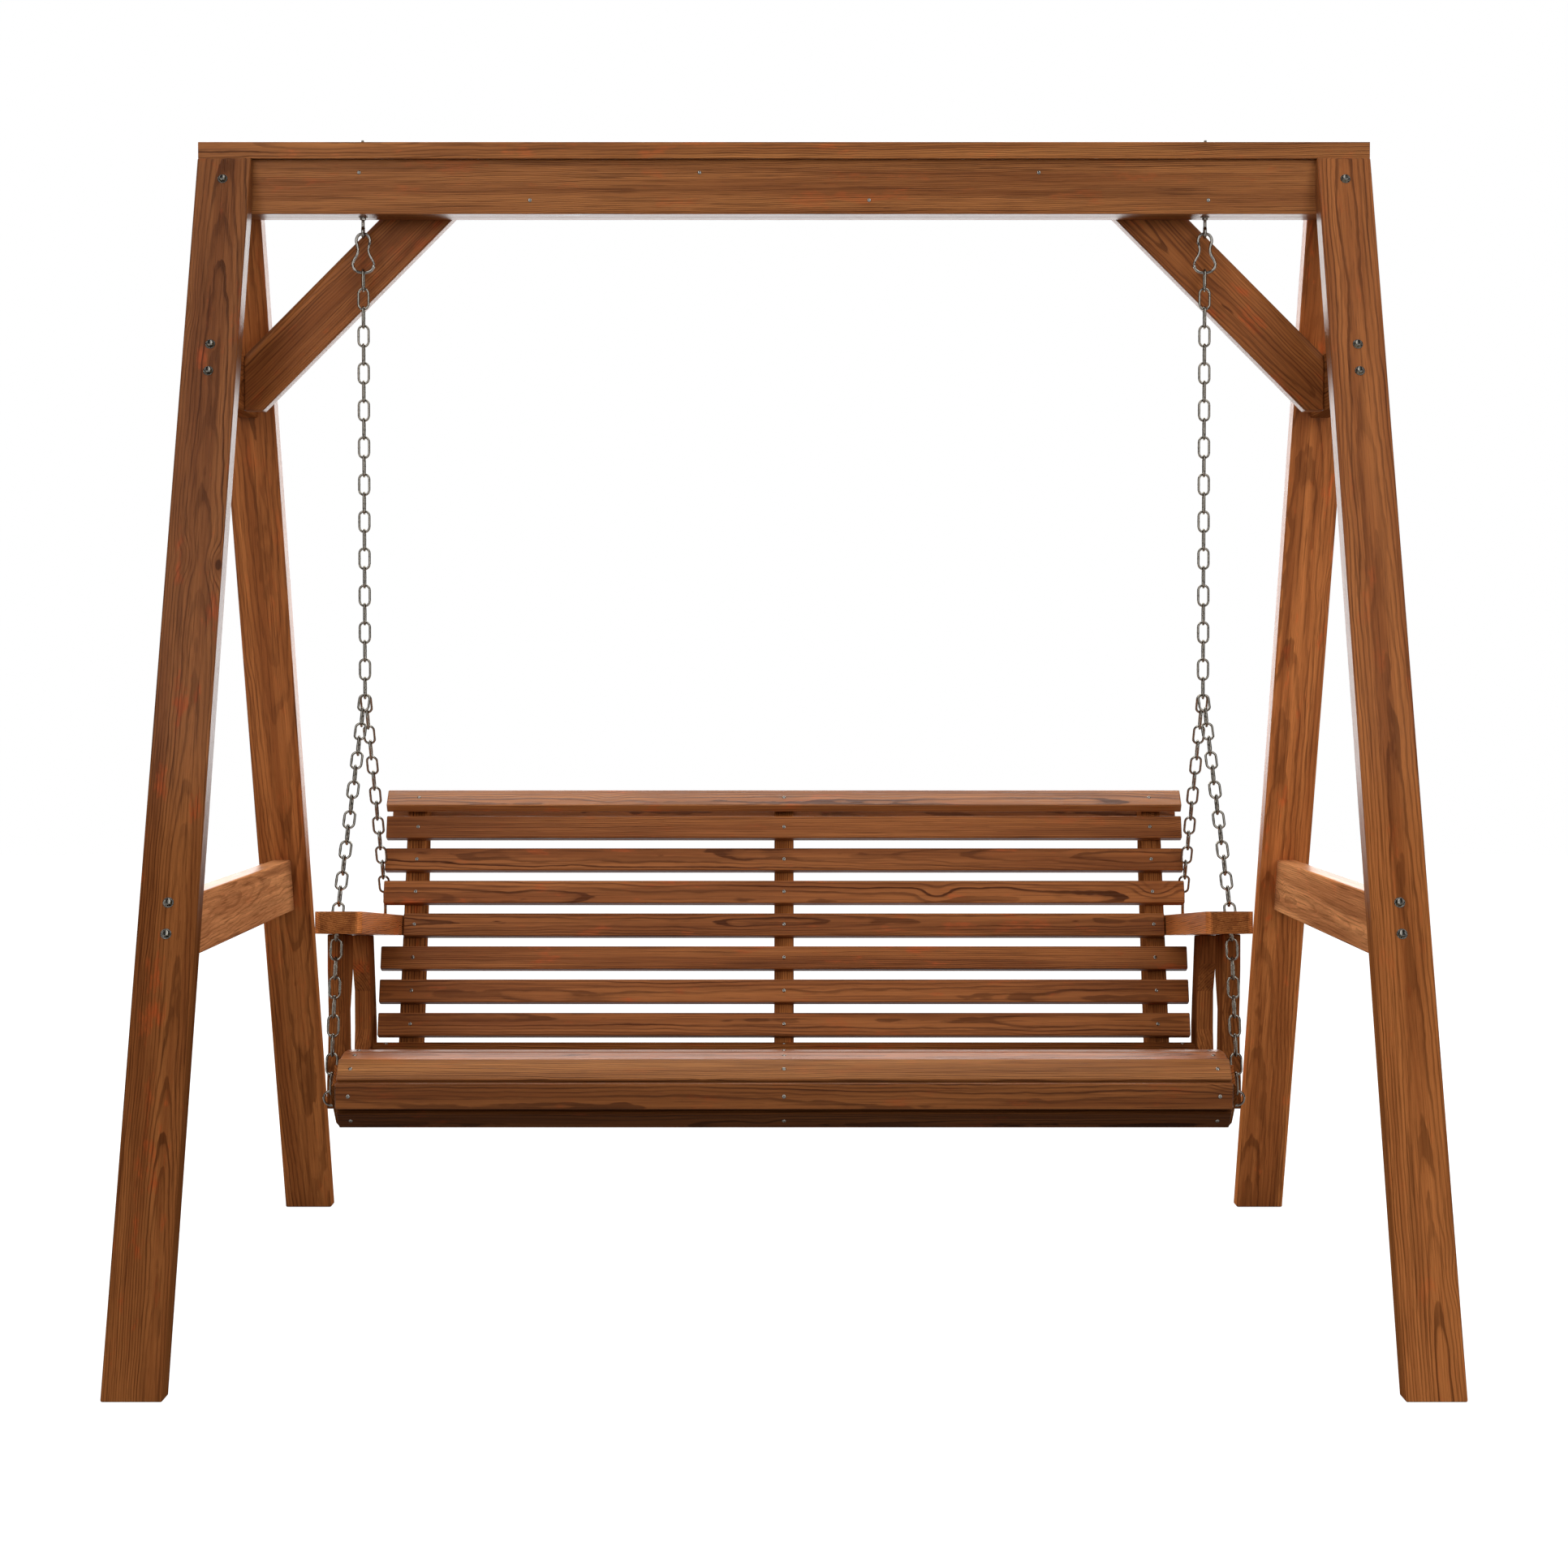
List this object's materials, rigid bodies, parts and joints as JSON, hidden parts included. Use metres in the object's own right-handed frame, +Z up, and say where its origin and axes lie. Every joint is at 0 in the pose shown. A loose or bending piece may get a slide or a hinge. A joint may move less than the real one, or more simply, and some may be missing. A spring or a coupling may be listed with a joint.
{
  "type": "porch swing",
  "caption": "Slatted timber porch swing hung on chains from a free-standing A-frame, for sitting and swinging outdoors.",
  "frame": {"origin": "on the ground under the middle of the beam, the bottom centre of the whole object's box", "axes": "+X along the beam to the sitter's left, +Y from the front of the seat to its back, +Z up"},
  "size_m": [1.95, 1.702, 1.935],
  "materials": {
    "stained_timber": "red brown stained softwood, satin, with strong lengthwise grain",
    "chain_steel": "welded chain in warm grey bright steel",
    "hanging_hardware": "bright steel eyes, snap hooks, bolts, nuts and screws"
  },
  "bodies": {
    "frame": {"beam_front_board": "stained_timber", "beam_rear_board": "stained_timber", "cap_board": "stained_timber", "left_front_leg": "stained_timber", "left_rear_leg": "stained_timber", "left_lower_rail": "stained_timber", "left_upper_rail": "stained_timber", "left_knee_brace": "stained_timber", "left_beam_eye_bolt": "hanging_hardware", "right_front_leg": "stained_timber", "right_rear_leg": "stained_timber", "right_lower_rail": "stained_timber", "right_upper_rail": "stained_timber", "right_knee_brace": "stained_timber", "right_beam_eye_bolt": "hanging_hardware"},
    "left_hanger": {"left_snap_hook": "hanging_hardware", "left_upper_chain": "chain_steel"},
    "right_hanger": {"right_snap_hook": "hanging_hardware", "right_upper_chain": "chain_steel"},
    "left_gate": {"left_hook_gate": "hanging_hardware"},
    "right_gate": {"right_hook_gate": "hanging_hardware"},
    "bench": {"seat_roll_under": "stained_timber", "seat_roll_front": "stained_timber", "seat_roll_corner": "stained_timber", "seat_slat_1": "stained_timber", "seat_slat_2": "stained_timber", "seat_slat_3": "stained_timber", "seat_slat_4": "stained_timber", "seat_slat_5": "stained_timber", "seat_slat_6": "stained_timber", "seat_slat_7": "stained_timber", "left_seat_rail": "stained_timber", "right_seat_rail": "stained_timber", "centre_seat_rail": "stained_timber", "left_back_rib": "stained_timber", "right_back_rib": "stained_timber", "centre_back_rib": "stained_timber", "back_slat_1": "stained_timber", "back_slat_2": "stained_timber", "back_slat_3": "stained_timber", "back_slat_4": "stained_timber", "back_slat_5": "stained_timber", "back_slat_6": "stained_timber", "back_slat_7": "stained_timber", "back_cap_slat": "stained_timber", "back_top_rail": "stained_timber", "left_armrest": "stained_timber", "left_front_arm_post": "stained_timber", "left_rear_arm_post": "stained_timber", "left_front_bench_eye": "hanging_hardware", "left_rear_bench_eye": "hanging_hardware", "left_front_chain": "chain_steel", "left_rear_chain": "chain_steel", "right_armrest": "stained_timber", "right_front_arm_post": "stained_timber", "right_rear_arm_post": "stained_timber", "right_front_bench_eye": "hanging_hardware", "right_rear_bench_eye": "hanging_hardware", "right_front_chain": "chain_steel", "right_rear_chain": "chain_steel"}
  },
  "joints": [
    {"name": "left_hanger_swing", "type": "hinge", "parent": "frame", "child": "left_hanger", "pos_m": [-0.707, 0, 1.7792], "axis": [1, 0, 0], "range_deg": [-20, 11.5]},
    {"name": "right_hanger_swing", "type": "hinge", "parent": "frame", "child": "right_hanger", "pos_m": [0.707, 0, 1.7792], "axis": [1, 0, 0], "range_deg": [-20, 11.5]},
    {"name": "bench_pitch", "type": "hinge", "parent": "left_hanger", "child": "bench", "pos_m": [-0.707, 0, 1.001], "axis": [1, 0, 0], "range_deg": [-8, 8]},
    {"name": "left_hook_gate_open", "type": "hinge", "parent": "left_hanger", "child": "left_gate", "pos_m": [-0.69677, 0, 1.76109], "axis": [0, 1, 0], "range_deg": [0, 22], "stiffness_Nm_per_rad": 0.02},
    {"name": "right_hook_gate_open", "type": "hinge", "parent": "right_hanger", "child": "right_gate", "pos_m": [0.69677, 0, 1.76109], "axis": [0, -1, 0], "range_deg": [0, 22], "stiffness_Nm_per_rad": 0.02}
  ],
  "couplings": [
    {"joint": "right_hanger_swing", "follows": "left_hanger_swing", "ratio": 1}
  ]
}
